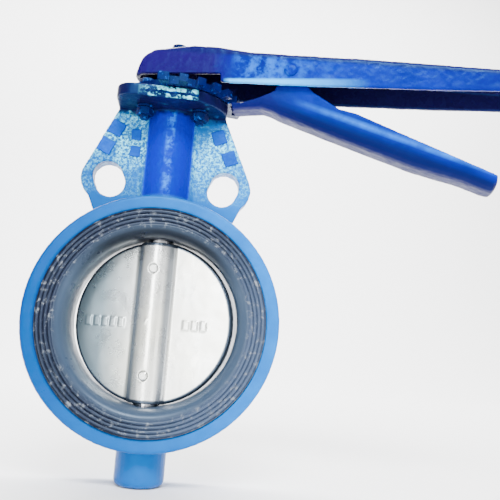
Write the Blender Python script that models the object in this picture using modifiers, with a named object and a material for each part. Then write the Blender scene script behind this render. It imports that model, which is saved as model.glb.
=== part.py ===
"""Wafer butterfly valve with a rubber seat, a stainless disc and a latching hand lever.

The bore axis is Y, the stem axis is Z, and both pass through the origin at the centre of the disc.
The lever points along +X when the disc is closed. It rests one notch open, turned towards -Y.
All sizes are in metres.
"""

import math

import bmesh
import bpy
import numpy as np

# Driving dimensions: ring, seat and disc
RING_OUTER_RADIUS = 0.0780
RING_HALF_WIDTH = 0.0245
RING_CHAMFER = 0.0012
SEAT_BORE_RADIUS = 0.0520
SEAT_BACK_RADIUS = 0.0600
SEAT_LIP_RADIUS = 0.0693
SEAT_LIP_INNER_FACE = 0.0215
FACE_TO_FACE = 0.0520
SEAT_MOUTH_RADIUS = 0.0578
SEAT_STRAIGHT_HALF = 0.0140
SEAT_GROOVE_RADII = (0.0660, 0.0633, 0.0606)
SEAT_GROOVE_DEPTH = 0.0008
DISC_SWING_RADIUS = 0.0517
DISC_FACE_RADIUS = 0.0506
DISC_HALF_THICKNESS = 0.0042
HUB_RADIUS = 0.0122
HUB_HALF_LENGTH = 0.0502

# Driving dimensions: neck, lugs and flange
BOSS_RADIUS = 0.0155
BOSS_BOTTOM = -0.0995
BOSS_EDGE_RADIUS = 0.0035
NECK_RADIUS = 0.0162
WEB_HALF_THICKNESS = 0.0060
WEB_TOP_HALF_WIDTH = 0.0353
LUG_CENTRE = (0.0409, 0.0903)
LUG_RADIUS = 0.0145
SLOT_PITCH_RADIUS = 0.0975
SLOT_ANGLE = math.radians(22.5)
SLOT_RADIUS = 0.0096
SLOT_LENGTH = 0.0240
FLANGE_BOTTOM = 0.1375
FLANGE_TOP = 0.1450
FLANGE_HALF_WIDTH = 0.0355
FLANGE_CORNER_RADIUS = 0.0110
FLANGE_PAWL_CLEARANCE = 0.0385
BOLT_OFFSET = 0.0177
BOLT_RADIUS = 0.0030
BOLT_HOLE_RADIUS = 0.0034
BOLT_END = 0.1280
BOLT_HEAD_ACROSS = 0.0100
BOLT_HEAD_HEIGHT = 0.0040
NUT_HEIGHT = 0.0050
SPRING_WASHER_RADIUS = 0.0054
SPRING_WASHER_BORE_RADIUS = 0.0033
SPRING_WASHER_THICKNESS = 0.0014

# Driving dimensions: stem and its seals
STEM_RADIUS = 0.0080
STEM_BOTTOM = -0.0900
STEM_TOP = 0.1765
STEM_SQUARE = 0.0110
STEM_SQUARE_START = 0.1520
BUSH_RADIUS = 0.0110
PIN_HEIGHT = 0.0335
PIN_RADIUS = 0.0028

# Driving dimensions: notch plate, lever and latch
NOTCH_PLATE_THICKNESS = 0.0050
NOTCH_PLATE_RADIUS = 0.0450
NOTCH_PLATE_BASE_RADIUS = 0.0330
NOTCH_FLOOR_RADIUS = 0.0390
NOTCH_HALF_WIDTH = 0.0032
NOTCH_COUNT = 7
NOTCH_PITCH = math.radians(15)
NOTCH_PLATE_END_ANGLE = math.radians(13)
NOTCH_PLATE_BORE_RADIUS = 0.0090
LEVER_HALF_WIDTH = 0.0175
LEVER_WALL = 0.0032
LEVER_START = -0.0262
LEVER_END = 0.2400
LEVER_HEAD_CORNER = 0.0100
LEVER_END_CORNER = 0.0080
LEVER_EDGE_RADIUS = 0.0030
LEVER_HUB_TOP = 0.1826
LATCH_PIVOT = (0.0795, 0.1643)
TOOTH_HALF_WIDTH = 0.0027
PIVOT_PIN_RADIUS = 0.0029
PIVOT_HEAD_RADIUS = 0.0042

GAP = 0.0003
REST_TURN = -NOTCH_PITCH
ALONG_BORE = (math.pi / 2, 0, 0)
ROUND_STEPS = 64


def clear_scene():
    for obj in list(bpy.data.objects):
        bpy.data.objects.remove(obj, do_unlink=True)


def new_collection(name):
    home = bpy.data.collections.new(name)
    bpy.context.scene.collection.children.link(home)
    return home


def new_material(name, colour, roughness, metallic):
    material = bpy.data.materials.new(name)
    material.use_nodes = True
    shader = material.node_tree.nodes["Principled BSDF"]
    shader.inputs["Base Color"].default_value = (*colour, 1)
    shader.inputs["Roughness"].default_value = roughness
    shader.inputs["Metallic"].default_value = metallic
    material.diffuse_color = (*colour, 1)
    return material


def place(name, mesh, location=(0, 0, 0), rotation=(0, 0, 0), parent=None):
    """An object of this mesh, kept out of the render until finish() makes it a part."""
    obj = bpy.data.objects.new(name, mesh)
    CUTTERS.objects.link(obj)
    obj.location = location
    obj.rotation_euler = rotation
    obj.parent = parent
    obj.display_type = "WIRE"
    obj.hide_render = True
    return obj


def finish(obj, material):
    """Makes a helper object a part of the valve, with its material."""
    CUTTERS.objects.unlink(obj)
    VALVE.objects.link(obj)
    obj.display_type = "TEXTURED"
    obj.hide_render = False
    obj.data.materials.clear()
    obj.data.materials.append(material)
    obj.data.shade_smooth()
    obj.data.set_sharp_from_angle(angle=math.radians(35))
    return obj


def mesh_from(name, bm):
    mesh = bpy.data.meshes.new(name)
    bm.to_mesh(mesh)
    bm.free()
    return mesh


def turned(name, profile, steps=ROUND_STEPS, closed=True, **where):
    """A profile of (radius, height) points, outer side first and downwards, turned about local Z."""
    bm = bmesh.new()
    points = [bm.verts.new((radius, 0, height)) for radius, height in profile]
    for first, second in zip(points, points[1:]):
        bm.edges.new((first, second))
    if closed:
        bm.edges.new((points[-1], points[0]))
    obj = place(name, mesh_from(name, bm), **where)
    screw = obj.modifiers.new("turn", "SCREW")
    screw.steps = steps
    screw.render_steps = steps
    screw.use_merge_vertices = True
    screw.merge_threshold = 0.00001
    return obj


def tube(name, inner, outer, bottom, top, steps=32, **where):
    profile = [(outer, top), (outer, bottom), (inner, bottom), (inner, top)]
    return turned(name, profile, steps, **where)


def rod(name, radius, bottom, top, steps=32, **where):
    profile = [(0, top), (radius, top), (radius, bottom), (0, bottom)]
    return turned(name, profile, steps, closed=False, **where)


def block(name, low, high, **where):
    bm = bmesh.new()
    bmesh.ops.create_cube(bm, size=1)
    for vert in bm.verts:
        vert.co = [a + (b - a) * (c + 0.5) for a, b, c in zip(low, high, vert.co)]
    return place(name, mesh_from(name, bm), **where)


def prism(name, outlines, low, high, **where):
    """Flat outlines, the first one solid and the rest holes in it, between two heights on local Z."""
    curve = bpy.data.curves.new(name, "CURVE")
    curve.dimensions = "2D"
    curve.fill_mode = "BOTH"
    curve.extrude = (high - low) / 2
    for outline in outlines:
        spline = curve.splines.new("POLY")
        spline.points.add(len(outline) - 1)
        for point, (x, y) in zip(spline.points, outline):
            point.co = (x, y, 0, 1)
        spline.use_cyclic_u = True
    flat = bpy.data.objects.new(name + "_outline", curve)
    CUTTERS.objects.link(flat)
    bpy.context.view_layer.update()
    mesh = bpy.data.meshes.new_from_object(flat.evaluated_get(bpy.context.evaluated_depsgraph_get()))
    bpy.data.objects.remove(flat, do_unlink=True)
    bm = bmesh.new()
    bm.from_mesh(mesh)
    bmesh.ops.remove_doubles(bm, verts=bm.verts, dist=0.000001)
    bmesh.ops.translate(bm, verts=bm.verts, vec=(0, 0, (low + high) / 2))
    bmesh.ops.recalc_face_normals(bm, faces=bm.faces)
    bpy.data.meshes.remove(mesh)
    return place(name, mesh_from(name, bm), **where)


def side_prism(name, outline, half_width, **where):
    """An outline in (x, z), as wide as twice half_width across Y."""
    return prism(name, [outline], -half_width, half_width, rotation=ALONG_BORE, **where)


def loft(name, stations, flat, up, **where):
    """A bar along local X, flat on one side and with rounded long edges on the other.

    A station is (x, height of the rounded side, half width, edge radius). The flat side is at one
    height, below the rounded side if up is 1 and above it if up is -1.
    """
    bm = bmesh.new()
    rings = []
    for x, height, half, radius in stations:
        corner = arc((half - radius, height - up * radius), radius, 0, up * math.pi / 2, 4)
        section = [(half, flat), *corner]
        section += [(-y, z) for y, z in reversed(section)]
        rings.append([bm.verts.new((x, y, z)) for y, z in section])
    for first, second in zip(rings, rings[1:]):
        for i in range(len(first)):
            bm.faces.new((first[i - 1], first[i], second[i], second[i - 1]))
    bm.faces.new(rings[0])
    bm.faces.new(rings[-1])
    bmesh.ops.recalc_face_normals(bm, faces=bm.faces)
    return place(name, mesh_from(name, bm), **where)


def combine(obj, other, operation):
    boolean = obj.modifiers.new(operation.lower() + "_" + other.name, "BOOLEAN")
    boolean.operation = operation
    boolean.object = other


def join(obj, *others):
    for other in others:
        combine(obj, other, "UNION")


def cut(obj, *others):
    for other in others:
        combine(obj, other, "DIFFERENCE")


def arc(centre, radius, start, end, count):
    """Points on an arc, both ends included. The angles are in radians from +X."""
    points = []
    for i in range(count + 1):
        angle = start + (end - start) * i / count
        points.append((centre[0] + radius * math.cos(angle), centre[1] + radius * math.sin(angle)))
    return points


def circle(centre, radius, count=24):
    return arc(centre, radius, 0, math.tau, count)[:-1]


def hexagon(across_flats):
    return circle((0, 0), across_flats / math.sqrt(3), 6)


def around_corners(offset):
    """The four corners of a square of twice this offset, counter-clockwise from the front left."""
    return [(-offset, -offset), (offset, -offset), (offset, offset), (-offset, offset)]


def ring_blank():
    half = RING_HALF_WIDTH
    recess = SEAT_LIP_INNER_FACE - GAP
    lip = SEAT_LIP_RADIUS + GAP
    back = SEAT_BACK_RADIUS + GAP
    profile = [
        (RING_OUTER_RADIUS - RING_CHAMFER, half),
        (RING_OUTER_RADIUS, half - RING_CHAMFER),
        (RING_OUTER_RADIUS, RING_CHAMFER - half),
        (RING_OUTER_RADIUS - RING_CHAMFER, -half),
        (lip, -half),
        (lip, -recess),
        (back, -recess),
        (back, recess),
        (lip, recess),
        (lip, half),
    ]
    return turned("body_casting", profile, 72, rotation=ALONG_BORE)


def boss_blank():
    centre = (BOSS_RADIUS - BOSS_EDGE_RADIUS, BOSS_BOTTOM + BOSS_EDGE_RADIUS)
    rounded = arc(centre, BOSS_EDGE_RADIUS, 0, -math.pi / 2, 4)
    top = -(SEAT_BACK_RADIUS + 0.002)
    profile = [(0, top), (BOSS_RADIUS, top), *rounded, (0, BOSS_BOTTOM)]
    return turned("boss_blank", profile, 32, closed=False)


def web_blank():
    """The lug plate: as wide as the flange at the top, with a round lug about each slot."""
    lug = arc(LUG_CENTRE, LUG_RADIUS, math.radians(-52), math.radians(24), 8)
    right = [(0.042, 0.062), (0.0455, 0.0690), *lug, (WEB_TOP_HALF_WIDTH, FLANGE_BOTTOM + 0.001)]
    left = [(-x, z) for x, z in reversed(right)]
    return side_prism("web_blank", right + left, WEB_HALF_THICKNESS)


def flange_outline():
    """A rounded square, with the corner below the notches turned off round so that the pawl clears it."""
    flat = math.acos(FLANGE_HALF_WIDTH / FLANGE_PAWL_CLEARANCE)
    points = arc((0, 0), FLANGE_PAWL_CLEARANCE, flat - math.pi / 2, -flat, 8)
    inner = FLANGE_HALF_WIDTH - FLANGE_CORNER_RADIUS
    for quarter, centre in enumerate([(inner, inner), (-inner, inner), (-inner, -inner)]):
        start = quarter * math.pi / 2
        points += arc(centre, FLANGE_CORNER_RADIUS, start, start + math.pi / 2, 6)
    return points


def slot_cutter(side):
    """A slot along the radius from the bore axis, through the lug plate on one side."""
    half = SLOT_LENGTH / 2 - SLOT_RADIUS
    outline = arc((0, half), SLOT_RADIUS, 0, math.pi, 12)
    outline += arc((0, -half), SLOT_RADIUS, math.pi, math.tau, 12)
    slot = prism(f"slot_cutter_{side:+d}", [outline], -0.02, 0.02)
    x = side * SLOT_PITCH_RADIUS * math.sin(SLOT_ANGLE)
    slot.location = (x, 0, SLOT_PITCH_RADIUS * math.cos(SLOT_ANGLE))
    slot.rotation_euler = (math.pi / 2, side * SLOT_ANGLE, 0)
    return slot


def neck_bore_cutter():
    """The stepped hole for the stem, with seats for two bushes and for the retaining ring."""
    seat = BUSH_RADIUS + GAP
    profile = [
        (0, 0.147),
        (0.0124, 0.147),
        (0.0124, 0.1404),
        (seat, 0.1404),
        (seat, 0.1160),
        (0.0095, 0.1160),
        (0.0095, 0.0960),
        (seat, 0.0960),
        (seat, 0.0500),
        (0, 0.0500),
    ]
    return turned("neck_bore_cutter", profile, 32, closed=False)


def make_body():
    body = ring_blank()
    neck = rod("neck_blank", NECK_RADIUS, SEAT_BACK_RADIUS + 0.002, FLANGE_BOTTOM + 0.001, 40)
    flange = prism("flange_blank", [flange_outline()], FLANGE_BOTTOM, FLANGE_TOP)
    join(body, boss_blank(), neck, web_blank(), flange)
    boss_bore = rod("boss_bore_cutter", BUSH_RADIUS + GAP, STEM_BOTTOM - 0.003, -0.050)
    cut(body, neck_bore_cutter(), boss_bore, slot_cutter(-1), slot_cutter(1))
    for number, (x, y) in enumerate(around_corners(BOLT_OFFSET), 1):
        hole = rod(f"bolt_hole_cutter_{number}", BOLT_HOLE_RADIUS, 0.130, 0.150, 20, location=(x, y, 0))
        cut(body, hole)
    finish(body, new_material("body_paint", (0.09, 0.33, 0.70), 0.35, 0))


def seat_profile():
    """One half of the seat's section, from the lip's edge round the face and mouth to the bore."""
    face = FACE_TO_FACE / 2
    points = [(SEAT_LIP_RADIUS, face - 0.0006), (SEAT_LIP_RADIUS - 0.0006, face)]
    for radius in SEAT_GROOVE_RADII:
        points.append((radius + 0.0005, face))
        points.append((radius, face - SEAT_GROOVE_DEPTH))
        points.append((radius - 0.0005, face))
    depth = face - SEAT_STRAIGHT_HALF
    flare = SEAT_MOUTH_RADIUS - SEAT_BORE_RADIUS
    for i in range(6):
        angle = math.pi / 2 * (1 - i / 5)
        radius = SEAT_MOUTH_RADIUS - flare * math.cos(angle)
        points.append((radius, SEAT_STRAIGHT_HALF + depth * math.sin(angle)))
    return points


def make_seat():
    front = seat_profile()
    back = [(radius, -height) for radius, height in front]
    lip_back = [
        (SEAT_LIP_RADIUS, SEAT_LIP_INNER_FACE),
        (SEAT_BACK_RADIUS, SEAT_LIP_INNER_FACE),
        (SEAT_BACK_RADIUS, -SEAT_LIP_INNER_FACE),
        (SEAT_LIP_RADIUS, -SEAT_LIP_INNER_FACE),
    ]
    profile = lip_back + back + list(reversed(front))
    seat = turned("seat_liner", profile, 56, rotation=ALONG_BORE)
    cut(seat, rod("seat_stem_cutter", STEM_RADIUS + GAP, -0.070, 0.070))
    finish(seat, new_material("seat_rubber", (0.012, 0.013, 0.016), 0.55, 0))


def make_bearings():
    bush = new_material("bush_polymer", (0.75, 0.72, 0.62), 0.5, 0)
    bore = STEM_RADIUS + GAP
    finish(tube("lower_stem_bush", bore, BUSH_RADIUS, -0.0885, -0.0625), bush)
    finish(tube("middle_stem_bush", bore, BUSH_RADIUS, 0.0625, 0.0865), bush)
    finish(tube("upper_stem_bush", bore, BUSH_RADIUS, 0.1163, 0.1400), bush)
    seal = new_material("seal_rubber", (0.02, 0.02, 0.02), 0.6, 0)
    for name, height in (("stem_o_ring_lower", 0.0890), ("stem_o_ring_upper", 0.0926)):
        section = [(radius, z) for radius, z in reversed(circle((0.00965, height), 0.00125, 8))]
        finish(turned(name, section, 20), seal)
    opening = math.radians(25)
    outline = arc((0, 0), 0.0118, opening, math.tau - opening, 20)
    outline += arc((0, 0), 0.0073, math.tau - opening, opening, 20)
    ring = prism("stem_retaining_ring", [outline], 0.1410, 0.1424)
    finish(ring, new_material("spring_steel", (0.30, 0.30, 0.32), 0.35, 1))


def notch_plate_outline():
    """A toothed sector about the lever's travel, and a smaller round plate behind it."""
    half_angle = math.asin(NOTCH_HALF_WIDTH / NOTCH_PLATE_RADIUS)
    stop = NOTCH_PLATE_END_ANGLE
    last = -NOTCH_PITCH * (NOTCH_COUNT - 1)
    base_end = math.tau + last - stop
    points = arc((0, 0), NOTCH_PLATE_BASE_RADIUS, stop, base_end, 28)
    edge = last - stop
    for number in reversed(range(NOTCH_COUNT)):
        middle = -NOTCH_PITCH * number
        points += arc((0, 0), NOTCH_PLATE_RADIUS, edge, middle - half_angle, 3)
        for side in (-1, 1):
            x = NOTCH_FLOOR_RADIUS
            y = side * NOTCH_HALF_WIDTH
            turn_x = x * math.cos(middle) - y * math.sin(middle)
            turn_y = x * math.sin(middle) + y * math.cos(middle)
            points.append((turn_x, turn_y))
        edge = middle + half_angle
    return points + arc((0, 0), NOTCH_PLATE_RADIUS, edge, stop, 3)


def make_notch_plate():
    holes = [circle((0, 0), NOTCH_PLATE_BORE_RADIUS, 28)]
    holes += [circle(corner, BOLT_HOLE_RADIUS, 20) for corner in around_corners(BOLT_OFFSET)]
    bottom = FLANGE_TOP + GAP
    outlines = [notch_plate_outline(), *holes]
    plate = prism("notch_plate", outlines, bottom, bottom + NOTCH_PLATE_THICKNESS)
    finish(plate, new_material("plate_paint", (0.03, 0.06, 0.36), 0.35, 0))


def make_plate_fasteners():
    steel = new_material("fastener_steel", (0.36, 0.38, 0.45), 0.35, 1)
    plate_top = FLANGE_TOP + GAP + NOTCH_PLATE_THICKNESS
    washer_top = FLANGE_BOTTOM - GAP
    washer_bottom = washer_top - SPRING_WASHER_THICKNESS
    nut_top = washer_bottom - GAP
    slit = math.radians(8)
    washer = arc((0, 0), SPRING_WASHER_RADIUS, slit, math.tau - slit, 16)
    washer += arc((0, 0), SPRING_WASHER_BORE_RADIUS, math.tau - slit, slit, 16)
    head_outline = hexagon(BOLT_HEAD_ACROSS)
    for number, (x, y) in enumerate(around_corners(BOLT_OFFSET), 1):
        spot = (x, y, 0)
        head_bottom = plate_top + GAP
        head_top = head_bottom + BOLT_HEAD_HEIGHT
        head = prism(f"plate_bolt_{number}", [head_outline], head_bottom, head_top, location=spot)
        shank = rod(f"shank_{number}", BOLT_RADIUS, BOLT_END, head_bottom + 0.001, 16, location=spot)
        join(head, shank)
        finish(head, steel)
        outlines = [head_outline, circle((0, 0), BOLT_RADIUS + GAP, 16)]
        nut = prism(f"plate_nut_{number}", outlines, nut_top - NUT_HEIGHT, nut_top, location=spot)
        finish(nut, steel)
        ring = prism(f"plate_washer_{number}", [washer], washer_bottom, washer_top, location=spot)
        finish(ring, steel)


def make_disc(turning):
    half = DISC_HALF_THICKNESS
    rim = [(DISC_FACE_RADIUS, half), (0.0514, half - 0.001), (DISC_SWING_RADIUS, half - 0.0026)]
    lower = [(radius, -height) for radius, height in reversed(rim)]
    profile = [(0, half), *rim, *lower, (0, -half)]
    disc = turned("disc", profile, 56, closed=False, rotation=ALONG_BORE, parent=turning)
    hub = rod("disc_hub_blank", HUB_RADIUS, -HUB_HALF_LENGTH, HUB_HALF_LENGTH, 40, parent=turning)
    join(disc, hub)
    cut(disc, rod("disc_bore_cutter", STEM_RADIUS + GAP, -0.060, 0.060, parent=turning))
    for name, height in (("upper", PIN_HEIGHT), ("lower", -PIN_HEIGHT)):
        pin_hole = PIN_RADIUS + GAP
        hole = rod(f"pin_hole_{name}", pin_hole, -0.020, 0.020, 20, rotation=ALONG_BORE, parent=turning)
        hole.location = (0, 0, height)
        cut(disc, hole)
    finish(disc, new_material("disc_stainless", (0.62, 0.62, 0.60), 0.28, 1))


def make_stem(turning):
    groove = (0.1407, 0.1427)
    chamfer = 0.001
    profile = [
        (0, STEM_SQUARE_START),
        (STEM_RADIUS - chamfer, STEM_SQUARE_START),
        (STEM_RADIUS, STEM_SQUARE_START - chamfer),
        (STEM_RADIUS, groove[1]),
        (STEM_RADIUS - chamfer, groove[1]),
        (STEM_RADIUS - chamfer, groove[0]),
        (STEM_RADIUS, groove[0]),
        (STEM_RADIUS, STEM_BOTTOM + chamfer),
        (STEM_RADIUS - chamfer, STEM_BOTTOM),
        (0, STEM_BOTTOM),
    ]
    stem = turned("stem", profile, 32, closed=False, parent=turning)
    half = STEM_SQUARE / 2
    low = (-half, -half, STEM_SQUARE_START - 0.002)
    join(stem, block("stem_square_blank", low, (half, half, STEM_TOP), parent=turning))
    cut(stem, rod("stem_tapped_cutter", 0.0033, STEM_TOP - 0.016, STEM_TOP + 0.001, 16, parent=turning))
    for name, height in (("upper", PIN_HEIGHT), ("lower", -PIN_HEIGHT)):
        cut(stem, bpy.data.objects[f"pin_hole_{name}"])
        front = HUB_RADIUS + 0.0008
        profile = [(0, front), (0.0020, front), (PIN_RADIUS, front - 0.0006)]
        profile += [(PIN_RADIUS - 0.0003, -0.0120), (0, -0.0120)]
        pin = turned(f"taper_pin_{name}", profile, 20, closed=False, rotation=ALONG_BORE, parent=turning)
        pin.location = (0, 0, height)
        finish(pin, new_material(f"pin_steel_{name}", (0.50, 0.50, 0.50), 0.3, 1))
    finish(stem, new_material("stem_steel", (0.55, 0.55, 0.56), 0.25, 1))


# The lever's upper and lower edges, as (distance from the stem, height).
LEVER_TOP_EDGE = [
    (LEVER_START, 0.1625),
    (-0.0225, 0.1700),
    (-0.0190, 0.1755),
    (-0.0120, 0.1795),
    (0.0150, 0.1822),
    (0.0300, 0.1812),
    (0.0522, 0.1775),
    (0.0847, 0.1751),
    (0.1235, 0.1727),
    (0.1651, 0.1694),
    (0.2062, 0.1660),
    (LEVER_END, 0.1634),
]
LEVER_LOWER_EDGE = [
    (0.0336, 0.1620),
    (0.0345, 0.1563),
    (0.0537, 0.1556),
    (0.0859, 0.1541),
    (0.1243, 0.1531),
    (0.1656, 0.1519),
    (LEVER_END, 0.1508),
]


def lever_stations(wall, edge_radius):
    """Stations along the lever's skin, or along its hollow at a wall's thickness inside the skin."""
    half = LEVER_HALF_WIDTH - wall
    start = LEVER_START + wall
    end = LEVER_END - wall
    head_corner = LEVER_HEAD_CORNER - wall
    end_corner = LEVER_END_CORNER - wall
    plan = []
    for i in range(6):
        angle = math.pi / 2 * i / 5
        plan.append((start + head_corner * (1 - math.cos(angle)), half - head_corner * (1 - math.sin(angle))))
    plan += [(x, half) for x, _ in LEVER_TOP_EDGE[3:-1]]
    for i in reversed(range(5)):
        angle = math.pi / 2 * i / 4
        plan.append((end - end_corner * (1 - math.cos(angle)), half - end_corner * (1 - math.sin(angle))))
    places = [x for x, _ in LEVER_TOP_EDGE]
    heights = [z for _, z in LEVER_TOP_EDGE]
    return [(x, float(np.interp(x, places, heights)) - wall, y, edge_radius) for x, y in plan]


def lever_shell(turning):
    lever = loft("lever", lever_stations(0, LEVER_EDGE_RADIUS), 0.1400, 1, parent=turning)
    lower = [(-0.040, 0.130), (-0.040, 0.1620), *LEVER_LOWER_EDGE, (0.260, 0.1508), (0.260, 0.130)]
    cut(lever, side_prism("lever_under_cutter", lower, 0.040, parent=turning))
    cut(lever, loft("lever_hollow_cutter", lever_stations(LEVER_WALL, 0.0010), 0.1300, 1, parent=turning))
    return lever


def make_lever(turning):
    lever = lever_shell(turning)
    hub_top = LEVER_HUB_TOP
    join(lever, rod("lever_hub_blank", 0.0130, 0.1565, hub_top - 0.0030, 32, parent=turning))
    join(lever, rod("lever_pad_blank", 0.0100, hub_top - 0.0040, hub_top, 32, parent=turning))
    half = STEM_SQUARE / 2 + GAP
    low = (-half, -half, 0.150)
    cut(lever, block("lever_square_cutter", low, (half, half, STEM_TOP + 0.0005), parent=turning))
    cut(lever, rod("lever_screw_hole", 0.0033, 0.170, 0.190, 16, parent=turning))
    x, z = LATCH_PIVOT
    pin_radius = PIVOT_PIN_RADIUS + GAP
    pin_hole = rod("lever_pin_hole", pin_radius, -0.030, 0.030, 20, rotation=ALONG_BORE, parent=turning)
    pin_hole.location = (x, 0, z)
    cut(lever, pin_hole)
    finish(lever, new_material("lever_paint", (0.02, 0.05, 0.36), 0.3, 0))
    steel = new_material("screw_steel", (0.42, 0.43, 0.46), 0.35, 1)
    washer_bottom = hub_top + GAP
    washer_top = washer_bottom + 0.0016
    finish(tube("lever_washer", 0.0033, 0.0085, washer_bottom, washer_top, 28, parent=turning), steel)
    head = [washer_top + GAP, washer_top + GAP + 0.004]
    screw = prism("lever_screw", [hexagon(0.010)], head[0], head[1], parent=turning)
    join(screw, rod("lever_screw_shank", BOLT_RADIUS, STEM_TOP - 0.014, head[0] + 0.001, 16, parent=turning))
    finish(screw, steel)


# The latch's skin and hollow, as (distance from the stem, height of the underside, half width, edge radius).
LATCH_SKIN = [
    (0.0412, 0.1415, 0.0130, 0.0080),
    (0.0500, 0.1422, 0.0130, 0.0080),
    (0.0600, 0.1427, 0.0130, 0.0080),
    (0.0660, 0.1408, 0.0130, 0.0080),
    (0.0720, 0.1378, 0.0130, 0.0080),
    (0.1050, 0.1250, 0.0130, 0.0080),
    (0.1570, 0.1055, 0.0130, 0.0080),
    (0.1870, 0.0970, 0.0130, 0.0080),
    (0.2000, 0.0920, 0.0130, 0.0080),
    (0.2045, 0.0910, 0.0124, 0.0078),
    (0.2066, 0.0930, 0.0108, 0.0068),
    (0.2078, 0.0968, 0.0085, 0.0045),
]
LATCH_HOLLOW = [
    (0.0640, 0.1441, 0.0105, 0.0055),
    (0.0730, 0.1401, 0.0105, 0.0055),
    (0.1050, 0.1276, 0.0105, 0.0055),
    (0.1570, 0.1081, 0.0105, 0.0055),
    (0.1870, 0.0996, 0.0105, 0.0055),
    (0.1990, 0.0952, 0.0105, 0.0055),
    (0.2034, 0.0955, 0.0092, 0.0048),
    (0.2048, 0.0985, 0.0070, 0.0040),
]
# The latch's upper edge from the grip's end to the pivot's ears, and from the ears to the pawl.
LATCH_UPPER_EDGE = [
    (0.2060, 0.1010),
    (0.2015, 0.1025),
    (0.1547, 0.1230),
    (0.1210, 0.1379),
    (0.1110, 0.1404),
    (0.0947, 0.1509),
    (0.0875, 0.1580),
]
LATCH_PAWL_TOP = [(0.0690, 0.1520), (0.0600, 0.1480), (0.0470, 0.1447), (0.0412, 0.1447)]


def latch_shell(latching):
    """A channel open at the top, deeper at its ears, drawn about the pivot as (0, 0)."""
    pivot_x, pivot_z = LATCH_PIVOT

    def about_pivot(stations):
        return [(x - pivot_x, z - pivot_z, *rest) for x, z, *rest in stations]

    above = 0.014
    latch = loft("latch", about_pivot(LATCH_SKIN), above, -1, parent=latching)
    ears = arc((0, 0), 0.0055, math.radians(-20), math.radians(200), 12)
    upper = about_pivot(LATCH_UPPER_EDGE) + ears + about_pivot(LATCH_PAWL_TOP)
    clear_of_ends = [(-0.060, upper[-1][1]), (-0.060, 0.040), (0.160, 0.040), (0.160, upper[0][1])]
    cut(latch, side_prism("latch_above_cutter", upper + clear_of_ends, 0.030, parent=latching))
    cut(latch, loft("latch_hollow_cutter", about_pivot(LATCH_HOLLOW), 0.030, -1, parent=latching))
    return latch


def make_latch(turning):
    x, z = LATCH_PIVOT
    latching = bpy.data.objects.new("latch_axis", None)
    VALVE.objects.link(latching)
    latching.parent = turning
    latching.location = (x, 0, z)
    latch = latch_shell(latching)
    tooth_top = FLANGE_TOP + GAP + NOTCH_PLATE_THICKNESS
    low = (0.0396 - x, -TOOTH_HALF_WIDTH, 0.1425 - z)
    high = (0.0446 - x, TOOTH_HALF_WIDTH, tooth_top - z)
    join(latch, block("tooth_blank", low, high, parent=latching))
    pin_radius = PIVOT_PIN_RADIUS + GAP
    hole = rod("latch_pin_hole", pin_radius, -0.030, 0.030, 20, rotation=ALONG_BORE, parent=latching)
    cut(latch, hole)
    finish(latch, new_material("latch_paint", (0.02, 0.06, 0.40), 0.3, 0))


def make_pivot(turning):
    x, z = LATCH_PIVOT
    wall = LEVER_HALF_WIDTH + GAP
    head = wall + 0.0016
    profile = [
        (0, head),
        (PIVOT_HEAD_RADIUS, head),
        (PIVOT_HEAD_RADIUS, wall),
        (PIVOT_PIN_RADIUS, wall),
        (PIVOT_PIN_RADIUS, -wall - 0.0028),
        (0, -wall - 0.0028),
    ]
    pin = turned("latch_pivot_pin", profile, 20, closed=False, rotation=ALONG_BORE, parent=turning)
    pin.location = (x, 0, z)
    finish(pin, new_material("pivot_steel", (0.45, 0.46, 0.50), 0.3, 1))
    clip = tube("latch_pin_clip", PIVOT_PIN_RADIUS + GAP, 0.0052, -wall - 0.0012, -wall, 20)
    clip.rotation_euler = ALONG_BORE
    clip.parent = turning
    clip.location = (x, 0, z)
    finish(clip, new_material("clip_steel", (0.30, 0.30, 0.32), 0.35, 1))


def spring_route():
    """One leg under the lever's roof, five turns about the pin, and one leg down into the grip."""
    coil_radius = 0.0046
    half_length = 0.0060
    turns = 5
    per_turn = 8
    count = turns * per_turn + per_turn // 2
    route = [(0.0150, -half_length, 0.0038), (0.0060, -half_length, 0.0043)]
    for i in range(count + 1):
        angle = math.pi / 2 + math.tau * i / per_turn
        y = -half_length + 2 * half_length * i / count
        route.append((coil_radius * math.cos(angle), y, coil_radius * math.sin(angle)))
    route += [(0.0060, half_length, -0.0090), (0.0170, half_length, -0.0290)]
    return route


def make_spring(turning):
    x, z = LATCH_PIVOT
    curve = bpy.data.curves.new("latch_spring", "CURVE")
    curve.dimensions = "3D"
    curve.bevel_depth = 0.0006
    curve.bevel_resolution = 1
    curve.use_fill_caps = True
    spline = curve.splines.new("POLY")
    route = spring_route()
    spline.points.add(len(route) - 1)
    for point, (px, py, pz) in zip(spline.points, route):
        point.co = (px, py, pz, 1)
    spring = bpy.data.objects.new("latch_spring", curve)
    VALVE.objects.link(spring)
    spring.parent = turning
    spring.location = (x, 0, z)
    curve.materials.append(new_material("spring_wire", (0.40, 0.40, 0.42), 0.3, 1))


clear_scene()
VALVE = new_collection("butterfly_valve")
CUTTERS = new_collection("cutters")
CUTTERS.hide_render = True
STEM_AXIS = bpy.data.objects.new("stem_axis", None)
VALVE.objects.link(STEM_AXIS)
STEM_AXIS.rotation_euler = (0, 0, REST_TURN)

make_body()
make_seat()
make_bearings()
make_notch_plate()
make_plate_fasteners()
make_disc(STEM_AXIS)
make_stem(STEM_AXIS)
make_lever(STEM_AXIS)
make_latch(STEM_AXIS)
make_pivot(STEM_AXIS)
make_spring(STEM_AXIS)
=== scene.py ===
"""Looks of the wafer butterfly valve: cast and painted body, moulded seat, satin disc, glossy lever."""

import math

import bmesh
import bpy
import numpy as np
from mathutils import Matrix, Vector, noise


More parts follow.
